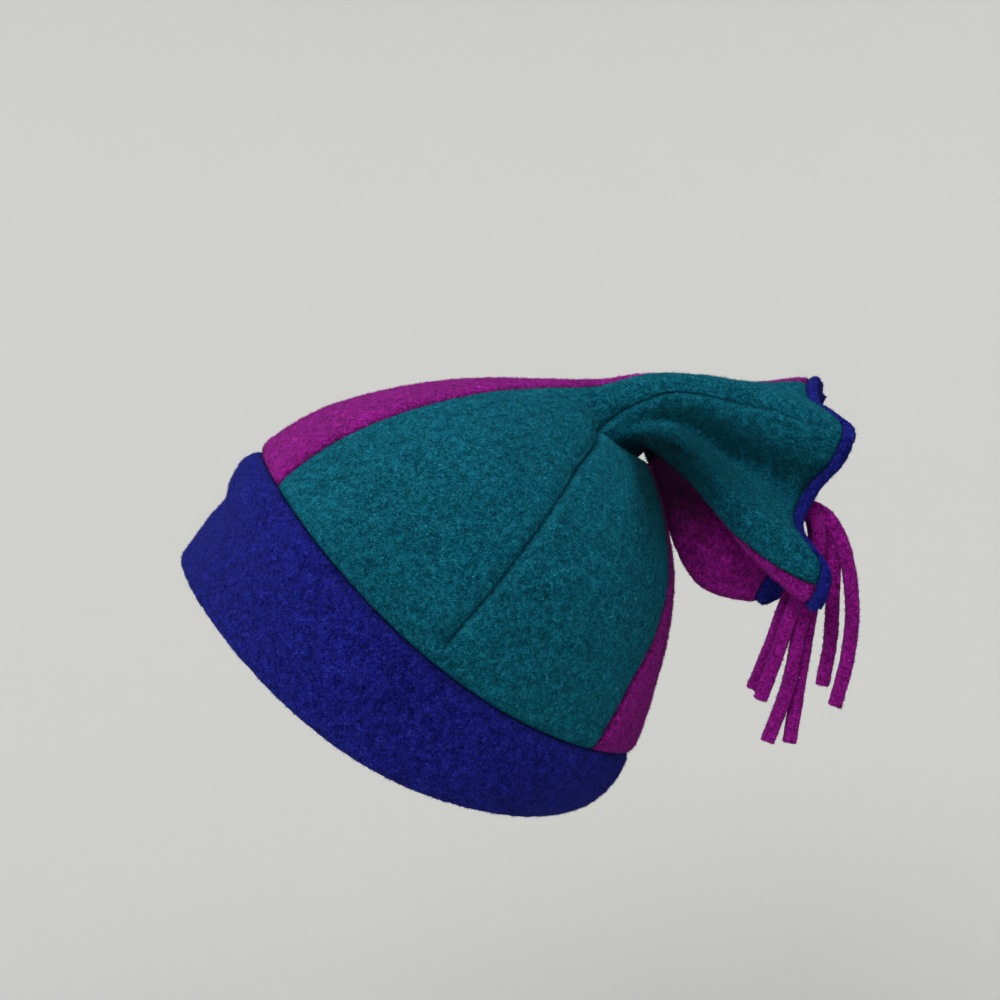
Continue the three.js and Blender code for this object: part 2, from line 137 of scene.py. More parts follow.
# The nap: rounded tufts, curdled into wider clumps. On the tassel it is lower and more even.
TUFT_SIZE = 1.8
TUFT_HEIGHT = 0.4
TUFT_MIDDLE = 0.45
CLUMP_SIZE = 3.2
CLUMP_HEIGHT = 0.26
TASSEL_NAP = 0.6
TASSEL_TONE = 0.3

# Loose fibres that stand up from the nap.
FIBRES_PER_MM2 = 0.7
FIBRE_LENGTHS = (0.7, 1.6)
FIBRE_RADIUS = 0.14
FIBRE_ROOT = 0.25
FIBRE_LIFTS = (0.25, 1.3)
# Painted shade on fibres where the cloth under them has painted shade.
FIBRE_SHADE = 2.6
# Painted shade at a fibre's foot and painted light at its tip.
FOOT_TONE = 0.6
TIP_TONE = 1.7

# The fleece's material: strands and curdles of the nap, per metre, and the shares that the colour takes
# from them and from the mesh's tone. Where these are higher the colour is lighter: painted light on the
# nap's high places and painted shade in its low ones.
STRAND_SCALES = (560, 940)
STRAND_WIDTH = 0.045
TONE_SHARE = 0.38
CURDLE_SHARE = 0.22
STRAND_SHARE = 0.56
STRAND_BUMP = 0.0005
CURDLE_SCALE = 680
CURDLE_RANGE = (0.37, 0.63)
CURDLE_BUMP = 0.0018
BROAD_SCALE = 26
BROAD_RANGE = (0.9, 1.1)
# Painted shade in a hollow: the share of the colour left where the tone is pushed down to -1.
HOLLOW_LIGHT = 0.06
RAMP_PLACES = (0.2, 0.47, 0.78)
TIP_ROUGHNESS = 0.85

# Specks of lint, per metre, with their sizes as shares of their spacing.
LINT_SCALE = 42
LINT_SIZES = (0.012, 0.02)
LINT_SHARE = 0.55
LINT = (0.5, 0.58, 0.62, 1)

RING = "front front_rise back back_rise side side_rise"
FOLD = "girth near_up near_side mid_up mid_side end_up end_side lead"
STATION = "share up side"
PROFILE = "inset rise dip scale"


def table(columns, rows):
    """Rows of values as dictionaries with named columns."""
    return [dict(zip(columns.split(), row)) for row in rows]


# Rings of the band and crown. Reaches are shares of half the seam's length, or of half its width at
# the side. Rises are shares of the band's or the crown's height.
BAND_RINGS = table(RING, [
    (0.998, 0.0, 1.0, 0.0, 1.0, -0.3),
    (1.02, -0.16, 1.01, -0.14, 1.018, -0.46),
    (1.003, -0.34, 1.017, -0.29, 1.025, -0.64),
    (0.972, -0.46, 1.008, -0.41, 1.025, -0.77),
    (0.976, -0.64, 0.988, -0.52, 1.018, -0.91),
    (0.97, -0.87, 0.938, -0.64, 0.995, -1.09),
    (0.968, -0.985, 0.895, -0.68, 0.978, -1.15),
])
CROWN_RINGS = table(RING, [
    (0.998, 0.0, 1.0, 0.0, 1.0, -0.152),
    (0.963, 0.125, 0.965, 0.105, 0.99, -0.015),
    (0.9, 0.27, 0.9, 0.255, 0.945, 0.165),
    (0.785, 0.435, 0.81, 0.44, 0.85, 0.375),
    (0.64, 0.6, 0.685, 0.62, 0.715, 0.565),
    (0.475, 0.752, 0.54, 0.757, 0.555, 0.725),
    (0.28, 0.9, 0.4, 0.86, 0.37, 0.85),
    (0.09, 1.045, 0.26, 0.95, 0.195, 0.94),
])

# Folds of the tail at three stations. Up and side are shares of the tail's reach, and lead is how far
# a fold runs past the middle of the end, as a share of the tail's length.
TAIL_FOLDS = table(FOLD, [
    (0, 0.46, 0, 0.66, 0.05, 1.07, 0.26, -0.2),
    (36, 0.45, -0.2, 0.67, -0.14, 1.02, 0, -0.23),
    (52, 0.45, -0.29, 0.69, -0.3, 0.84, -0.22, -0.2),
    (68, 0.44, -0.38, 0.69, -0.43, 0.77, -0.44, -0.11),
    (84, 0.4, -0.45, 0.63, -0.53, 0.69, -0.6, -0.03),
    (96, 0.34, -0.5, 0.48, -0.58, 0.55, -0.68, -0.02),
    (109, 0.24, -0.45, 0.29, -0.46, 0.3, -0.54, -0.01),
    (122, 0.12, -0.27, 0.05, -0.11, 0, -0.3, -0.05),
    (134, -0.04, -0.46, -0.15, -0.4, -0.28, -0.42, -0.03),
    (147, -0.22, -0.52, -0.41, -0.6, -0.55, -0.7, 0.13),
    (160, -0.32, -0.38, -0.7, -0.46, -0.95, -0.54, 0.15),
    (177, -0.34, 0, -0.38, 0, -0.57, 0.02, 0.03),
    (190, -0.66, 0.26, -1.13, 0.34, -1.09, 0.4, 0.02),
    (206, -0.44, 0.44, -0.92, 0.58, -0.9, 0.7, 0.1),
    (224, -0.06, 0.46, -0.36, 0.5, -0.42, 0.52, 0),
    (240, 0.13, 0.43, 0.04, 0.33, 0, 0.25, -0.1),
    (262, 0.3, 0.48, 0.45, 0.54, 0.52, 0.6, -0.12),
    (290, 0.43, 0.42, 0.64, 0.54, 0.97, 0.66, -0.12),
    (322, 0.46, 0.22, 0.66, 0.28, 1.03, 0.46, -0.17),
])
TAIL_STATIONS = table(STATION, [
    (0.24, "near_up", "near_side"),
    (0.62, "mid_up", "mid_side"),
    (1, "end_up", "end_side"),
])
FRONT_SEAM_GIRTH = 36
BACK_SEAM_GIRTHS = [145, 146, 149, 156, 162, 165, 167, 171, 168, 157, 152.5]
DART_GIRTHS = [96, 96, 97, 97.5, 98, 98, 102, 107, 98, 93.5, 92.5]

# Profile of the cap from the tail's end to its middle.
CAP_PROFILE = table(PROFILE, [
    (0, 0, 0, 1),
    (0.03, 0.55, 0, 1),
    (0.35, 0.92, 0, 1),
    (0.95, 1.0, 0, 1),
    (1.6, 0.92, 0, 1),
    (1.6, 0.2, 0.45, 0.64),
    (1.6, 0, 0.85, 0.32),
    (1.6, 0, 1.0, 0.02),
])
ROLL_ROWS = 4
ROLL_STEPS = 16
DISH_STEPS = 48
RIM_SCALE = 0.9
CAP_SAMPLES = 2000
CAP_BARE_ROWS = 4

# Strips of the tassel: their way sideways, their fall, their arch, and their reach along the fall.
STRIP_FALLS = [0.08, 0.25, 0.5, 0.75, 1.0]
STRIPS = table("side fall lift reaches", [
    (-0.03, 0.84, -0.01, [0.15, 0.21, 0.235, 0.215, 0.16]),
    (0.03, 0.76, -0.02, [0.125, 0.165, 0.165, 0.155, 0.12]),
    (-0.05, 0.81, -0.02, [0.085, 0.085, -0.01, -0.08, -0.155]),
    (-0.02, 0.99, -0.03, [0.09, 0.09, 0.02, -0.03, -0.12]),
    (0.02, 1.0, -0.03, [0.09, 0.1, 0.06, 0.02, -0.02]),
    (0.05, 0.78, -0.02, [0.08, 0.08, -0.02, -0.09, -0.17]),
])
STRIP_SIDES = 20
STRIP_SAMPLES = 400
STRIP_ROUNDING = 0.75
STRIP_VOXEL = 0.62

# Colours in linear light: the deep of the nap, its middle and its tips. The darker deep and the lighter
# tips are painted shade and painted light of the tufts.
BLUE = [(0.001, 0.0015, 0.042), (0.0045, 0.0055, 0.148), (0.025, 0.031, 0.36)]
TEAL = [(0.0001, 0.02, 0.036), (0.0003, 0.075, 0.12), (0.014, 0.2, 0.28)]
MAGENTA = [(0.05, 0.0012, 0.043), (0.225, 0.002, 0.185), (0.47, 0.016, 0.41)]
BLUE_SHEEN = (0.15, 0.2, 1.0)
TEAL_SHEEN = (0.06, 0.7, 0.95)
MAGENTA_SHEEN = (1.0, 0.22, 0.95)

# The studio, in metres: a round room, two square lights and the camera.
ROOM_RADIUS = 1.3
ROOM_FLOOR = -0.42
ROOM_CURVE = 0.5
ROOM_CURVE_STEPS = 13
ROOM_TOP = 1.5
ROOM_COLUMNS = 96
ROOM_COLOUR = (0.71, 0.71, 0.697)
KEY_PLACE = (-0.3, -1.0, 0.7)
KEY_SIZE = 0.6
KEY_POWER = 15.5
TOP_PLACE = (0.1, -0.05, 1.3)
TOP_SIZE = 0.9
TOP_POWER = 9
SKY_STRENGTH = 0.06
CAMERA_PLACE = (0.0223, -0.642, 0.0412)
CAMERA_LENS = 55
CAMERA_SENSOR = 36


def mix(a, b, share):
    return a + (b - a) * share


def unit(vectors):
    return vectors / np.linalg.norm(vectors, axis=-1, keepdims=True)


def distance(a, b):
    return np.linalg.norm(a - b, axis=-1)


def lengths_along(points):
    """Lengths along a line of points, from its first."""
    return np.concatenate([[0], np.cumsum(distance(points[1:], points[:-1]))])


def through_points(points, place, closed=False):
    """Points on a smooth curve through a list of points, at places counted in points from the first."""
    count = len(points)
    start = np.clip(np.floor(place).astype(int), 0, count - 1 if closed else count - 2)
    t = (place - start)[:, None]
    weights = (
        0.5 * (-t + 2 * t**2 - t**3),
        0.5 * (2 - 5 * t**2 + 3 * t**3),
        0.5 * (t + 4 * t**2 - 3 * t**3),
        0.5 * (t**3 - t**2),
    )
    each = np.arange(len(place))
    total = np.zeros((len(place), 3))
    for k, weight in enumerate(weights):
        index = (start + k - 1) % count if closed else np.clip(start + k - 1, 0, count - 1)
        total += weight * (points[index] if points.ndim == 2 else points[index, each])
    return total


def oval_point(ring, height, girth):
    """Points of an oval ring of the band or crown."""
    angle = np.radians(girth)
    to_front = (1 + np.cos(angle)) / 2
    reach = mix(ring["back"], ring["front"], to_front) * SEAM_LENGTH / 2
    ends_rise = mix(ring["back_rise"], ring["front_rise"], to_front)
    side_share = np.sin(angle - SIDE_LAG * np.sin(angle)) ** 2
    side_drop = ring["side_rise"] - (ring["front_rise"] + ring["back_rise"]) / 2
    return np.stack([
        -reach * np.cos(angle),
        -ring["side"] * SEAM_WIDTH / 2 * np.sin(angle),
        (ends_rise + side_drop * side_share) * height,
    ], axis=-1)


# The tail's own axes, and the middle of the neck that it starts from.
TAIL_ALONG = np.array([math.sin(TAIL_DROOP), 0, math.cos(TAIL_DROOP)])
TAIL_UP = np.array([-TAIL_ALONG[2], 0, TAIL_ALONG[0]])
TAIL_SIDE = np.array([0, 1, 0])
NECK_CENTRE = oval_point(CROWN_RINGS[-1], CROWN_HEIGHT, np.array([0, 180])).mean(axis=0)
END_CENTRE = NECK_CENTRE + TAIL_ALONG * TAIL_LENGTH - TAIL_UP * CAP_SAG


def fold_point(fold, station):
    """One fold of the tail at a station."""
    from_neck = oval_point(CROWN_RINGS[-1], CROWN_HEIGHT, fold["girth"]) - NECK_CENTRE
    along = mix(from_neck @ TAIL_ALONG, TAIL_LENGTH * (1 + fold["lead"]), station["share"])
    across = TAIL_REACH * (TAIL_UP * fold[station["up"]] + TAIL_SIDE * fold[station["side"]])
    return NECK_CENTRE + TAIL_ALONG * along + across


TAIL_RINGS = [np.array([fold_point(fold, station) for fold in TAIL_FOLDS]) for station in TAIL_STATIONS]
FOLD_GIRTHS = np.array([fold["girth"] for fold in TAIL_FOLDS] + [360])
NECK_LEVEL = len(CROWN_RINGS) - 1
END_LEVEL = NECK_LEVEL + len(TAIL_RINGS)


def fold_place(girth):
    """The folds that girths fall on, as places between the folds."""
    turn = np.mod(girth, 360)
    below = np.searchsorted(FOLD_GIRTHS, turn, side="right") - 1
    return below + (turn - FOLD_GIRTHS[below]) / (FOLD_GIRTHS[below + 1] - FOLD_GIRTHS[below])


def cloth_point(level, girth):
    """Points of the cloth above the band, from the crown's seam to the tail's end."""
    place = fold_place(girth)
    rings = [oval_point(ring, CROWN_HEIGHT, girth) for ring in CROWN_RINGS]
    rings += [through_points(points, place, closed=True) for points in TAIL_RINGS]
    return through_points(np.stack(rings), level)


def band_point(share, girth):
    """Points of the band's outside, from its seam at 0 to its fold at 1."""
    rings = [oval_point(ring, BAND_HEIGHT, girth) for ring in BAND_RINGS]
    return through_points(np.stack(rings), share * (len(BAND_RINGS) - 1))


def frame_at(surface, level, girth, last_level):
    """Points of a surface, with the ways out and onwards there, for arrays of any shape."""
    shape = level.shape
    level, girth = level.ravel(), girth.ravel()
    step = np.where(level <= last_level / 2, LEVEL_STEP, -LEVEL_STEP)
    point = surface(level, girth)
    onwards = unit((surface(level + step, girth) - point) * np.sign(step)[:, None])
    around = unit(surface(level, girth + GIRTH_STEP) - surface(level, girth - GIRTH_STEP))
    out = unit(np.cross(around, onwards))
    return (part.reshape(*shape, 3) for part in (point, out, onwards))


def drawn_in(away, depth, spread=SEAM_SPREAD):
    """How far a seam or dart draws the cloth in, at a distance from it."""
    return depth * np.exp(-((away / spread) ** 2))


def lip(away):
    """How far the cloth's sewn edge rolls under, at a distance from it."""
    near = np.clip(1 - away / LIP_WIDTH, 0, 1)
    return LIP_DEPTH * (1 - np.sqrt(1 - near**2))


def shares_along(length):
    """Shares from 0 to 1 along a length, with finer steps beside a seam at each end."""
    fine = np.full(SEAM_STEPS, SEAM_STEP)
    middle = max(length - 2 * fine.sum(), DETAIL)
    steps = np.concatenate([fine, np.full(math.ceil(middle / DETAIL), DETAIL), fine])
    ends = np.concatenate([[0], np.cumsum(steps)])
    return ends / ends[-1]


def nap(points):
    """Height of the nap at points in mm, about its middle, and its share from deep to tips."""
    flat = points.reshape(-1, 3)
    heights = np.empty(len(flat))
    for i, (x, y, z) in enumerate(flat):
        tuft = TUFT_MIDDLE - noise.voronoi(Vector((x, y, z)) / TUFT_SIZE)[0][0]
        clump = noise.noise(Vector((x, y, z)) / CLUMP_SIZE)
        heights[i] = TUFT_HEIGHT * tuft + CLUMP_HEIGHT * clump
    heights = heights.reshape(points.shape[:-1])
    return heights, np.clip(0.5 + heights / (TUFT_HEIGHT + CLUMP_HEIGHT), 0, 1)


def worn(points):
    """Points of the hat's upright frame, tipped back to the worn pose, in metres."""
    c, s = math.cos(WEAR_TILT), math.sin(WEAR_TILT)
    x, y, z = points[..., 0], points[..., 1], points[..., 2]
    return np.stack([c * x + s * z, y, c * z - s * x], axis=-1) * MM


def mesh_piece(name, points, faces, tone, material, node, normals=None):
    """A smooth closed mesh that stands for a solid and rides with the hat."""
    mesh = bpy.data.meshes.new(name)
    mesh.from_pydata(points.tolist(), [], faces)
    mesh.validate()
    mesh.polygons.foreach_set("use_smooth", np.ones(len(mesh.polygons), bool))
    mesh.attributes.new("tone", "FLOAT", "POINT").data.foreach_set("value", tone.astype(np.float32))
    if normals is not None:
        mesh.normals_split_custom_set_from_vertices(normals)
    mesh.materials.append(material)
    piece = bpy.data.objects.new(name, mesh)
    bpy.context.scene.collection.objects.link(piece)
    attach(piece, "root")
    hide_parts(node)
    return piece


def cells_of(points):
    """Cells of a grid of points: a corner of each, and the corners beside it along its row and column."""
    return np.stack([points[:-1, :-1], points[:-1, 1:], points[1:, :-1]], axis=2).reshape(-1, 3, 3)


def fibres(name, cells, material, node, turned=1, dark=None):
    """Loose fibres that stand up all over the cells of an outside, in mm, darkened by painted shade where
    the cloth has it.
    """
    rng = np.random.default_rng(len(name))
    across = np.cross(cells[:, 1] - cells[:, 0], cells[:, 2] - cells[:, 0]) * turned
    total = np.cumsum(np.linalg.norm(across, axis=-1))
    count = round(total[-1] * FIBRES_PER_MM2)
    cell = np.searchsorted(total, rng.random(count) * total[-1])
    corner, along_row, along_column = cells[cell, 0], cells[cell, 1], cells[cell, 2]
    u, v = rng.random((2, count, 1))
    foot = corner + u * (along_row - corner) + v * (along_column - corner)
    way = unit(across[cell])
    aside = unit(np.cross(way, rng.normal(size=(count, 3))))
    lean = unit(way * rng.uniform(*FIBRE_LIFTS, (count, 1)) + aside)
    first = unit(np.cross(lean, way))
    second = np.cross(lean, first)
    root = foot - lean * FIBRE_ROOT
    thirds = [0, 2 * math.pi / 3, 4 * math.pi / 3]
    ring = [root + FIBRE_RADIUS * (first * math.cos(t) + second * math.sin(t)) for t in thirds]
    tip = foot + lean * rng.uniform(*FIBRE_LENGTHS, (count, 1))
    points = np.stack([*ring, tip], axis=1).reshape(-1, 3) * MM
    sides = np.array([(0, 2, 1), (0, 1, 3), (1, 2, 3), (2, 0, 3)])
    faces = (4 * np.arange(count)[:, None, None] + sides).reshape(-1, 3).tolist()
    # Painted shade at each fibre's foot and painted light at its tip.
    tone = np.tile([FOOT_TONE, FOOT_TONE, FOOT_TONE, TIP_TONE], (count, 1))
    if dark is not None:
        # Painted shade carried over from the cloth under each fibre.
        tone -= FIBRE_SHADE * dark[cell, None]
    normals = np.repeat(way, 4, axis=0).tolist()
    mesh_piece(name, points, faces, tone.ravel(), material, node, normals)


def quads(rows, columns):
    """Faces between the rows of a grid of points, whose last column joins its first."""
    row = np.arange(rows - 1)[:, None] * columns
    column = np.arange(columns)[None, :]
    after = (column + 1) % columns
    corners = [row + column, row + after, row + columns + after, row + columns + column]
    return np.stack(corners, axis=-1).reshape(-1, 4).tolist()


def zipped(first, second):
    """Triangles between two lines of points that run side by side and have different counts."""
    faces = []
    i = j = 0
    while i < len(first) - 1 or j < len(second) - 1:
        ahead = (i + 1) / (len(first) - 1)
        ahead_second = (j + 1) / (len(second) - 1)
        if j == len(second) - 1 or (i < len(first) - 1 and ahead <= ahead_second):
            faces.append((first[i], first[i + 1], second[j]))
            i += 1
        else:
            faces.append((first[i], second[j + 1], second[j]))
            j += 1
    return faces


# Panels run between two seams, past a dart or a middle line.
def back_seam(level):
    return np.interp(level, np.arange(len(BACK_SEAM_GIRTHS)), BACK_SEAM_GIRTHS)


def dart(level):
    return np.interp(level, np.arange(len(DART_GIRTHS)), DART_GIRTHS)


def front_seam(level):
    return FRONT_SEAM_GIRTH + 0 * level


def far_side(line):
    """The same line on the right side of the hat."""
    return lambda level: 360 - line(level)


PANELS = {
    "front_panel": [lambda level: -front_seam(level), lambda level: 0 * level, front_seam],
    "left_panel": [front_seam, dart, back_seam],
    "back_panel": [back_seam, lambda level: 180 + 0 * level, far_side(back_seam)],
    "right_panel": [far_side(back_seam), far_side(dart), far_side(front_seam)],
}


def even_levels(line):
    """Levels that lie evenly along a line of the cloth, with finer steps beside its end seams."""
    trial = np.linspace(0, END_LEVEL, LINE_SAMPLES)
    lengths = lengths_along(cloth_point(trial, line(trial)))
    return np.interp(shares_along(lengths[-1]) * lengths[-1], lengths, trial)


def widest(lines, levels):
    """The widest that the cloth between two lines gets, in mm."""
    widths = []
    for level in levels[::WIDTH_LEVEL_STEP]:
        girths = np.linspace(lines[0](level), lines[1](level), WIDTH_SAMPLES)
        row = cloth_point(np.full(WIDTH_SAMPLES, level), girths)
        widths.append(distance(row[1:], row[:-1]).sum())
    return max(widths)


def panel_grid(name):
    """Levels and girths all over a panel, and the column of its dart or middle line."""
    lines = PANELS[name]
    levels = even_levels(lines[1])
    before, after = (shares_along(widest(lines[i:i + 2], levels)) for i in (0, 1))
    first, middle, last = (line(levels)[:, None] for line in lines)
    girth = np.concatenate([mix(first, middle, before), mix(middle, last, after[1:])], axis=1)
    level = np.repeat(levels[:, None], girth.shape[1], axis=1)
    return level, girth, len(before) - 1


def tucked_in(level, girth, point):
    """How far the tuck draws the cloth in, and how much painted shade darkens the tuck and the pocket
    under the tail.
    """
    turn = np.mod(girth, 360)
    half_turn = np.minimum(turn, 360 - turn)
    tuck = cloth_point(np.full(girth.size, TUCK_LEVEL), girth.ravel()).reshape(point.shape)
    away = distance(point, tuck)
    tucked = np.clip((half_turn - TUCK_START) / (TUCK_FULL - TUCK_START), 0, 1)
    tucked = tucked * (np.abs(level - TUCK_LEVEL) < 1)
    pocket = np.clip((half_turn - POCKET_START) / (POCKET_FULL - POCKET_START), 0, 1)
    draw = tucked * drawn_in(away, TUCK_DEPTH, TUCK_SPREAD)
    # Painted shade in the tuck's crease, and in the pocket under the tail.
    shade = tucked * drawn_in(away, 1, TUCK_SHADE_SPREAD)
    return draw, shade, pocket * drawn_in(away, 1, POCKET_SPREAD)


def darted_in(name, level, point, end, column):
    """How far a side panel's dart draws the cloth in, and how much painted shade darkens its slit."""
    above = np.clip(end / DART_START, 0, 1) ** 2
    above[len(level) // 2:] = 1
    away = distance(point, point[:, column:column + 1])
    ahead = np.arange(level.shape[1]) <= column
    if name == "right_panel":
        ahead = ~ahead
    spread = np.where(ahead, DART_FRONT_SPREAD, DART_BACK_SPREAD)
    crisp = above * np.interp(level, [NECK_LEVEL, END_LEVEL], [1, DART_SLIT_END])
    draw = above * drawn_in(away, DART_DEPTH, spread)
    draw += crisp * drawn_in(away, DART_SLIT_DEPTH, DART_SLIT_WIDTH)
    return draw, crisp * drawn_in(away, DART_SHADE, SHADE_WIDTH)


def sewn_apart(point, out, onwards):
    """A panel's points, with its edges moved off their seams by half a seam's gap."""
    across = unit(np.cross(np.gradient(point, axis=0), out))
    base = point.copy()
    base[:, 0] += across[:, 0] * SEAM_GAP / 2
    base[:, -1] -= across[:, -1] * SEAM_GAP / 2
    base[0] += onwards[0] * SEAM_GAP / 2
    base[-1] -= onwards[-1] * SEAM_GAP / 2
    return base


def shell(outside, inside):
    """Points and faces of a closed shell. Each row runs over its outside and back under its inside."""
    loops = np.concatenate([outside, inside], axis=1)
    rows, columns = loops.shape[:2]
    over = list(range(outside.shape[1]))
    under = [columns - 1 - i for i in range(inside.shape[1])]
    last_row = (rows - 1) * columns
    faces = quads(rows, columns)
    faces += [(c, b, a) for a, b, c in zipped(over, under)]
    faces += zipped([last_row + i for i in over], [last_row + i for i in under])
    return loops, faces


def panel(name, colours):
    """A panel of the crown and tail as a closed shell with a napped outside."""
    level, girth, column = panel_grid(name)
    point, out, onwards = frame_at(cloth_point, level, girth, END_LEVEL)
    side = np.minimum(distance(point, point[:, :1]), distance(point, point[:, -1:]))
    end = np.minimum(distance(point, point[:1]), distance(point, point[-1:]))
    edge = np.minimum(side, end)
    tuck_draw, tuck_shade, hollow = tucked_in(level, girth, point)
    draw = drawn_in(side, SEAM_DEPTH) + drawn_in(end, SEAM_DEPTH) + lip(edge) + tuck_draw
    shade = np.maximum(drawn_in(edge, SHADE_DEPTH, SHADE_WIDTH), tuck_shade)
    # Painted shade in the valley between the left panel's lobes.
    if name == "left_panel":
        deep = np.clip((level - VALLEY_START) / (END_LEVEL - VALLEY_START), 0, 1)
        valley = deep * drawn_in(girth - VALLEY_GIRTH, VALLEY_SHADE, VALLEY_SPREAD)
        hollow = np.maximum(hollow, valley)
    if name in ("left_panel", "right_panel"):
        dart_draw, dart_shade = darted_in(name, level, point, end, column)
        draw += dart_draw
        shade = np.maximum(shade, dart_shade)
    base = sewn_apart(point, out, onwards)
    height, tone = nap(base)
    risen = np.clip(edge / EDGE_FADE, EDGE_NAP, 1) * (1 - shade)
    outside = base - out * (draw - height * risen)[..., None]
    evenly = np.round(np.linspace(0, girth.shape[1] - 1, INSIDE_COLUMNS)).astype(int)
    picks = np.unique(np.append(evenly, column))
    depth = np.maximum(FLEECE, draw + THINNEST)
    inside = (base - out * depth[..., None])[:, picks[::-1]]
    loops, faces = shell(outside, inside)
    # Painted shade: the tone darkens in the seams, the dart, the tuck, the pocket and the valley.
    tone = tone * (1 - shade) - HOLLOW_SHADE * hollow
    tones = np.concatenate([tone, np.full(inside.shape[:2], 0.5)], axis=1)
    mesh_piece(name + "_cloth", worn(loops).reshape(-1, 3), faces, tones.ravel(), colours, name)
    # The fibres over these places take the same painted shade.
    dark = np.maximum(shade, hollow)[:-1, :-1].ravel()
    fibres(name + "_nap", cells_of(worn(outside) / MM), colours, name, dark=dark)


def brow_band(colours):
    """The band: down its outside, round its fold and up its inside."""
    seam_loop = 2 * math.pi * math.sqrt((SEAM_LENGTH**2 + SEAM_WIDTH**2) / 8)
    columns = math.ceil(seam_loop * BAND_FLARE / DETAIL)
    girths = 360 * np.arange(columns) / columns
    shares = shares_along(BAND_HEIGHT)[:-SEAM_STEPS]
    shares = shares / shares[-1]
    share, girth = np.meshgrid(shares, girths, indexing="ij")
    point, out, onwards = frame_at(band_point, share, girth, 1)
    out = -out
    away = distance(point, point[:1])
    base = point.copy()
    base[0] += onwards[0] * SEAM_GAP / 2
    turns = (np.pi * np.arange(1, BAND_FOLD_STEPS) / BAND_FOLD_STEPS)[:, None, None]
    half = BAND_THICKNESS / 2
    fold = point[-1] + out[-1] * (np.cos(turns) - 1) * half + onwards[-1] * np.sin(turns) * half
    base = np.concatenate([base, fold])
    way = np.concatenate([out, out[-1] * np.cos(turns) + onwards[-1] * np.sin(turns)])
    height, tone = nap(base)
    seam = slice(0, len(shares))
    draw = np.zeros(base.shape[:2])
    draw[seam] = drawn_in(away, SEAM_DEPTH) + drawn_in(away, BAND_DIP_DEPTH, BAND_DIP_SPREAD) + lip(away)
    shade = np.zeros(base.shape[:2])
    shade[seam] = drawn_in(away, SHADE_DEPTH, SHADE_WIDTH)
    outside = base + way * (height * (1 - shade) - draw)[..., None]
    picks = np.arange(len(shares) - 1, -1, -INSIDE_ROW_STEP)
    picks = np.append(picks, 0) if picks[-1] else picks
    inside = (point - out * BAND_THICKNESS)[picks]
    loops = np.concatenate([outside, inside]).transpose(1, 0, 2)
    # Painted shade darkens the tone beside the band's seam.
    tones = np.concatenate([tone * (1 - shade), np.full(inside.shape[:2], 0.5)]).T
    rows, size = loops.shape[:2]
    faces = (np.array(quads(rows + 1, size)) % (rows * size)).tolist()
    points = worn(loops).reshape(-1, 3)
    mesh_piece("brow_band_cloth", points, faces, tones.ravel(), colours, "brow_band")
    around = np.concatenate([outside, outside[:, :1]], axis=1)
    fibres("brow_band_nap", cells_of(worn(around) / MM), colours, "brow_band", turned=-1)


def cap_ring(profile, frames, depth):
    """A ring of the cap at a row of its profile, at a depth below its outside."""
    point, out, onwards = frames
    inset = profile["inset"] * FLEECE + (depth if profile["inset"] < 1 else 0)
    sunk = profile["rise"] * CAP_ROLL - profile["dip"] * CAP_DIP - (0 if profile["inset"] < 1 else depth)
    way = onwards if profile["scale"] > RIM_SCALE else TAIL_ALONG
    return (point - out * inset - END_CENTRE) * profile["scale"] + END_CENTRE + way * sunk


def end_cap(colours):
    """The cap over the tail's end: it rolls round the panels' edge and dips to its middle."""
    girths = np.linspace(0, 360, CAP_SAMPLES, endpoint=False)
    outline = cloth_point(np.full(CAP_SAMPLES, END_LEVEL), girths)
    lengths = lengths_along(np.append(outline, outline[:1], axis=0))
    columns = math.ceil(lengths[-1] / DETAIL)
    even = np.interp(np.arange(columns) * lengths[-1] / columns, lengths, np.append(girths, 360))
    frames = list(frame_at(cloth_point, np.full(columns, float(END_LEVEL)), even, END_LEVEL))
    rows = np.stack([cap_ring(profile, frames, 0) for profile in CAP_PROFILE])
    roll = np.linspace(0, ROLL_ROWS, ROLL_STEPS + 1)
    dish = ROLL_ROWS + (len(rows) - 1 - ROLL_ROWS) * np.arange(1, DISH_STEPS + 1) / DISH_STEPS
    outside = np.stack([through_points(rows, np.full(columns, p)) for p in np.append(roll, dish)])
    along = np.gradient(outside, axis=0)
    around = np.roll(outside, -1, axis=1) - np.roll(outside, 1, axis=1)
    out = np.cross(around, along)
    out = out / np.maximum(np.linalg.norm(out, axis=-1, keepdims=True), 1e-9)
    height, tone = nap(outside)
    away = distance(outside, outside[:1])
    draw = drawn_in(away, SEAM_DEPTH) + lip(away)
    outside = outside + out * (height - draw)[..., None]
    under = CAP_PROFILE[ROLL_ROWS:][::-1] + CAP_PROFILE[:1]
    behind = np.stack([cap_ring(profile, frames, FLEECE) for profile in under])
    loops = np.concatenate([behind, outside])
    tones = np.concatenate([np.full(behind.shape[:2], 0.5), tone])
    count, size = loops.shape[:2]
    middles = [loops[:1].mean(axis=1), loops[-1:].mean(axis=1)]
    points = np.concatenate([loops.reshape(-1, 3), *middles])
    first, last = count * size, count * size + 1
    end = (count - 1) * size
    faces = quads(count, size)
    faces += [((i + 1) % size, i, first) for i in range(size)]
    faces += [(end + i, end + (i + 1) % size, last) for i in range(size)]
    tones = np.concatenate([tones.ravel(), [0.5, 0.5]])
    mesh_piece("end_cap_cloth", worn(points), faces, tones, colours, "end_cap")
    napped = np.concatenate([outside, outside[:, :1]], axis=1)[:-CAP_BARE_ROWS]
    fibres("end_cap_nap", cells_of(worn(napped) / MM), colours, "end_cap")


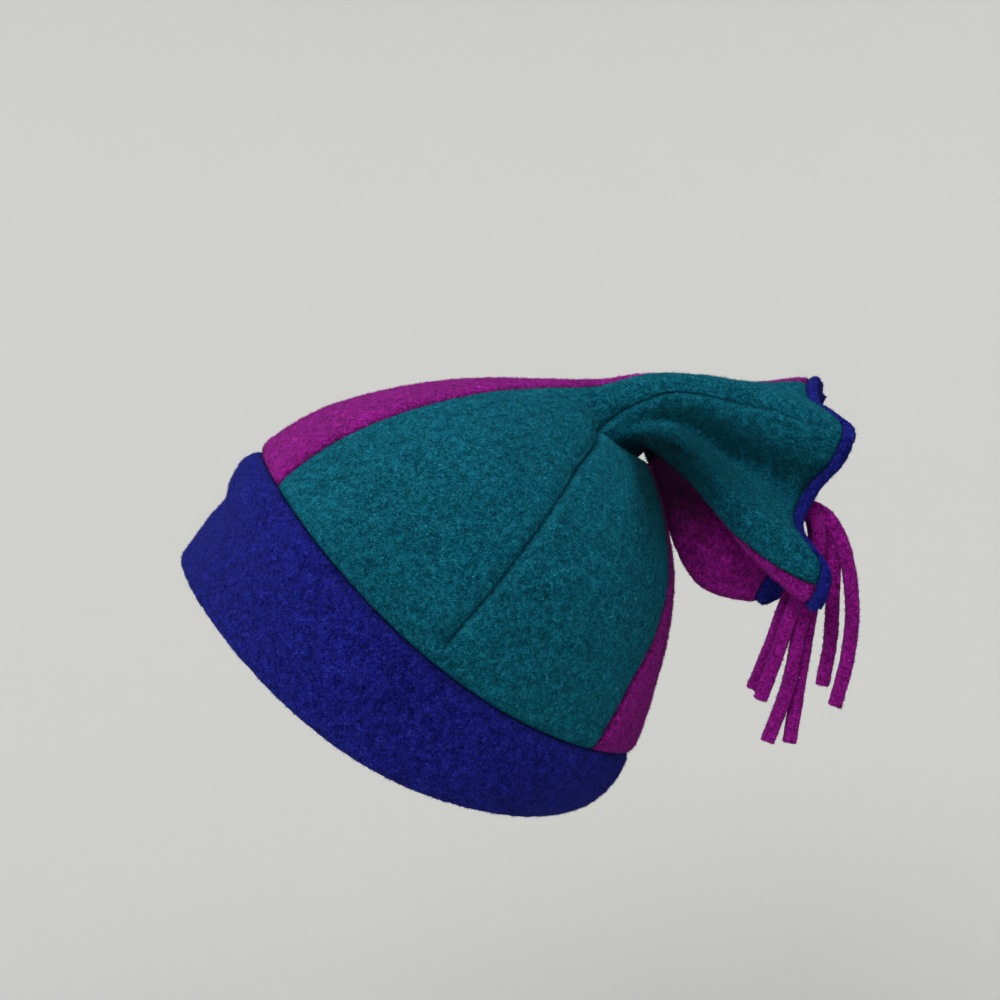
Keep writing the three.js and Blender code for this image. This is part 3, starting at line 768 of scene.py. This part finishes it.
def strip_path(strip, knot):
    """The way of a strip in the worn frame: from the knot, over its arch and down to its cut end."""
    first = knot + np.array([strip["reaches"][0] / 2, strip["side"] / 3, strip["lift"]]) * TASSEL_LENGTH
    points = [knot, first]
    for share, reach in zip(STRIP_FALLS, strip["reaches"]):
        sideways = strip["side"] * min(1, 0.4 + share)
        points.append(knot + np.array([reach, sideways, -strip["fall"] * share]) * TASSEL_LENGTH)
    points = np.array(points)
    return through_points(points, np.linspace(0, len(points) - 1, STRIP_SAMPLES))


def boxed(shares):
    """Sines or cosines of a ring's turns, spread towards a box with rounded corners."""
    return np.sign(shares) * np.abs(shares) ** STRIP_ROUNDING


def strip_tube(strip, knot):
    """Points and faces of one strip, closed at both its ends."""
    path = strip_path(strip, knot)
    lengths = lengths_along(path)
    count = math.ceil(lengths[-1] / DETAIL)
    at = np.linspace(0, lengths[-1], count)
    line = np.stack([np.interp(at, lengths, path[:, k]) for k in range(3)], axis=-1)
    along = unit(np.gradient(line, axis=0))
    across = unit(np.cross(along, TAIL_SIDE))
    level = unit(np.cross(across, along))
    turns = 2 * np.pi * np.arange(STRIP_SIDES) / STRIP_SIDES
    thick = boxed(np.cos(turns)) * STRIP_THICKNESS / 2
    wide = boxed(np.sin(turns)) * STRIP_WIDTH / 2
    rings = line[:, None] + level[:, None] * thick[:, None] + across[:, None] * wide[:, None]
    last = (count - 1) * STRIP_SIDES
    middle = count * STRIP_SIDES
    faces = quads(count, STRIP_SIDES)
    for i in range(STRIP_SIDES):
        j = (i + 1) % STRIP_SIDES
        faces += [[j, i, middle], [last + i, last + j, middle + 1]]
    return np.concatenate([rings.reshape(-1, 3), line[[0, -1]]]), faces


def fused(parts):
    """Points, ways out and faces of one body that overlapping closed parts make together, in mm."""
    points, faces = [], []
    for part_points, part_faces in parts:
        start = len(points)
        faces += [[start + i for i in face] for face in part_faces]
        points += (part_points * MM).tolist()
    mesh = bpy.data.meshes.new("strips")
    mesh.from_pydata(points, [], faces)
    body = bpy.data.objects.new("body", mesh)
    bpy.context.scene.collection.objects.link(body)
    remesh = body.modifiers.new("fuse", "REMESH")
    remesh.mode = "VOXEL"
    remesh.voxel_size = STRIP_VOXEL * MM
    remesh.adaptivity = 0
    whole = bpy.data.meshes.new_from_object(body.evaluated_get(bpy.context.evaluated_depsgraph_get()))
    bpy.data.objects.remove(body)
    places = np.zeros(len(whole.vertices) * 3)
    whole.vertices.foreach_get("co", places)
    ways = np.zeros(len(whole.vertices) * 3)
    whole.vertices.foreach_get("normal", ways)
    faces = [list(polygon.vertices) for polygon in whole.polygons]
    return places.reshape(-1, 3) / MM, ways.reshape(-1, 3), faces


def tassel(material):
    """Strips of fleece from one knot, fused into one body."""
    c, s = math.cos(WEAR_TILT), math.sin(WEAR_TILT)
    x, y, z = END_CENTRE + TAIL_ALONG * (KNOT_RADIUS - KNOT_DEPTH)
    knot = np.array([c * x + s * z, y, c * z - s * x])
    base, way, faces = fused([strip_tube(strip, knot) for strip in STRIPS])
    height, tone = nap(base)
    tone = 0.5 + TASSEL_TONE * (tone - 0.5)
    points = base + way * (TASSEL_NAP * height)[:, None]
    mesh_piece("tassel_cloth", points * MM, faces, tone, material, "tassel")
    fibres("tassel_nap", points[np.array(faces)[:, [0, 1, 3]]], material, "tassel")


def node(tree, kind, inputs=None, **settings):
    """A shader node with its settings and its inputs' values or links."""
    made = tree.nodes.new(kind)
    for key, value in settings.items():
        setattr(made, key, value)
    for key, value in (inputs or {}).items():
        if isinstance(value, bpy.types.NodeSocket):
            tree.links.new(value, made.inputs[key])
        else:
            made.inputs[key].default_value = value
    return made


def ranged(tree, value, start, end, low, high):
    """A value moved from one range to another, and held there."""
    ends = {"Value": value, "From Min": start, "From Max": end, "To Min": low, "To Max": high}
    return node(tree, "ShaderNodeMapRange", ends).outputs["Result"]


def arithmetic(tree, operation, *values):
    return node(tree, "ShaderNodeMath", dict(enumerate(values)), operation=operation).outputs[0]


def strands(tree, place, scale):
    """Thin curling strands, 1 along their middles and 0 between them."""
    look = {"Vector": place, "Scale": scale, "Detail": 1, "Distortion": 1.4}
    field = node(tree, "ShaderNodeTexNoise", look).outputs["Fac"]
    away = arithmetic(tree, "ABSOLUTE", arithmetic(tree, "SUBTRACT", field, 0.5))
    return ranged(tree, away, 0, STRAND_WIDTH, 1, 0)


def nap_colour(tree, colours, place, curdle, strand):
    """Colour of the nap from its deep to its tips, with painted shade in the deep and painted light on
    the tips, uneven all over and darker in a hollow by painted shade.
    """
    tone = node(tree, "ShaderNodeAttribute", attribute_name="tone").outputs["Fac"]
    share = arithmetic(tree, "MULTIPLY", tone, TONE_SHARE)
    pebble = ranged(tree, curdle, *CURDLE_RANGE, 0, 1)
    share = arithmetic(tree, "MULTIPLY_ADD", pebble, CURDLE_SHARE, share)
    share = arithmetic(tree, "MULTIPLY_ADD", strand, STRAND_SHARE, share)
    ramp = node(tree, "ShaderNodeValToRGB", {"Fac": share})
    ramp.color_ramp.elements.new(RAMP_PLACES[1])
    for stop, position, colour in zip(ramp.color_ramp.elements, RAMP_PLACES, colours):
        stop.position = position
        stop.color = (*colour, 1)
    look = {"Vector": place, "Scale": BROAD_SCALE, "Detail": 2}
    broad = node(tree, "ShaderNodeTexNoise", look).outputs["Fac"]
    uneven = ranged(tree, broad, 0.3, 0.7, *BROAD_RANGE)
    # Painted shade: a tone below 0 darkens the colour, down to HOLLOW_LIGHT.
    painted_shade_scale = ranged(tree, tone, -1, 0, HOLLOW_LIGHT, 1)
    varied = node(tree, "ShaderNodeVectorMath", {0: ramp.outputs["Color"]}, operation="SCALE")
    tree.links.new(arithmetic(tree, "MULTIPLY", uneven, painted_shade_scale), varied.inputs["Scale"])
    return varied.outputs[0]


def linted(tree, place, colour):
    """A colour with a few pale specks of lint."""
    specks = node(tree, "ShaderNodeTexVoronoi", {"Vector": place, "Scale": LINT_SCALE, "Randomness": 1})
    speck = ranged(tree, specks.outputs["Distance"], *LINT_SIZES, LINT_SHARE, 0)
    mixed = node(tree, "ShaderNodeMix", {"Factor": speck}, data_type="RGBA")
    tree.links.new(colour, mixed.inputs["A"])
    mixed.inputs["B"].default_value = LINT
    return mixed.outputs["Result"]


def fleece(name, colours, sheen):
    """Brushed fleece: deep, middle and tip colours by the nap, with painted shade in its deep and painted
    light on its tips, curling strands, lint and a soft sheen.
    """
    material = bpy.data.materials.new(name)
    material.use_nodes = True
    tree = material.node_tree
    tree.nodes.clear()
    place = node(tree, "ShaderNodeTexCoord").outputs["Object"]
    look = {"Vector": place, "Scale": CURDLE_SCALE, "Detail": 3, "Roughness": 0.6, "Distortion": 0.5}
    curdle = node(tree, "ShaderNodeTexNoise", look).outputs["Fac"]
    strand = arithmetic(tree, "MAXIMUM", *(strands(tree, place, scale) for scale in STRAND_SCALES))
    soft = {"Height": curdle, "Strength": 1, "Distance": CURDLE_BUMP}
    fine = {"Height": strand, "Strength": 0.8, "Distance": STRAND_BUMP}
    fine["Normal"] = node(tree, "ShaderNodeBump", soft).outputs["Normal"]
    shader = node(tree, "ShaderNodeBsdfPrincipled", {
        "Roughness": ranged(tree, strand, 0, 1, 1, TIP_ROUGHNESS),
        "Normal": node(tree, "ShaderNodeBump", fine).outputs["Normal"],
        "Specular IOR Level": 0.02,
        "Sheen Weight": 0.2,
        "Sheen Roughness": 0.4,
        "Sheen Tint": (*sheen, 1),
    })
    colour = nap_colour(tree, colours, place, curdle, strand)
    tree.links.new(linted(tree, place, colour), shader.inputs["Base Color"])
    output = node(tree, "ShaderNodeOutputMaterial")
    tree.links.new(shader.outputs["BSDF"], output.inputs["Surface"])
    return material


def plain(name, colour):
    """A matt finish of one colour, for the studio."""
    material = bpy.data.materials.new(name)
    material.use_nodes = True
    shader = material.node_tree.nodes["Principled BSDF"]
    shader.inputs["Base Color"].default_value = (*colour, 1)
    shader.inputs["Roughness"].default_value = 0.9
    return material


def studio():
    """A round pale room: a floor that curves up into a wall, alike from every side."""
    profile = [(0.01, ROOM_FLOOR)]
    for t in np.linspace(-math.pi / 2, 0, ROOM_CURVE_STEPS):
        reach = ROOM_RADIUS + ROOM_CURVE * (math.cos(t) - 1)
        profile.append((reach, ROOM_FLOOR + ROOM_CURVE * (1 + math.sin(t))))
    profile.append((ROOM_RADIUS, ROOM_TOP))
    turns = [2 * math.pi * i / ROOM_COLUMNS for i in range(ROOM_COLUMNS)]
    points = []
    for reach, height in profile:
        points += [(reach * math.cos(t), reach * math.sin(t), height) for t in turns]
    faces = [face[::-1] for face in quads(len(profile), ROOM_COLUMNS)]
    mesh = bpy.data.meshes.new("room")
    mesh.from_pydata(points, [], faces + [list(range(ROOM_COLUMNS))])
    mesh.polygons.foreach_set("use_smooth", np.ones(len(mesh.polygons), bool))
    mesh.materials.append(plain("pale_room", ROOM_COLOUR))
    room = bpy.data.objects.new("room", mesh)
    bpy.context.scene.collection.objects.link(room)


def softbox(name, place, size, power):
    """A square soft light that faces the hat."""
    light = bpy.data.lights.new(name, "AREA")
    light.size = size
    light.energy = power
    lamp = bpy.data.objects.new(name, light)
    lamp.location = place
    lamp.rotation_euler = (-Vector(place)).to_track_quat("-Z", "Y").to_euler()
    lamp.visible_camera = False
    bpy.context.scene.collection.objects.link(lamp)


def lights():
    softbox("key", KEY_PLACE, KEY_SIZE, KEY_POWER)
    softbox("top", TOP_PLACE, TOP_SIZE, TOP_POWER)
    world = bpy.data.worlds.new("daylight")
    bpy.context.scene.world = world
    world.use_nodes = True
    sky = world.node_tree.nodes["Background"]
    sky.inputs["Color"].default_value = (1, 1, 1, 1)
    sky.inputs["Strength"].default_value = SKY_STRENGTH


def camera():
    """A level camera beside the wearer's left side."""
    data = bpy.data.cameras.new("camera")
    data.lens = CAMERA_LENS
    data.sensor_width = CAMERA_SENSOR
    made = bpy.data.objects.new("camera", data)
    made.location = CAMERA_PLACE
    made.rotation_euler = (math.pi / 2, 0, 0)
    bpy.context.scene.collection.objects.link(made)
    bpy.context.scene.camera = made


camera()
studio()
lights()
bpy.context.scene.view_settings.view_transform = "Standard"
blue = fleece("blue_fleece", BLUE, BLUE_SHEEN)
teal = fleece("teal_fleece", TEAL, TEAL_SHEEN)
magenta = fleece("magenta_fleece", MAGENTA, MAGENTA_SHEEN)
brow_band(blue)
panel("front_panel", magenta)
panel("left_panel", teal)
panel("back_panel", magenta)
panel("right_panel", teal)
end_cap(blue)
tassel(magenta)
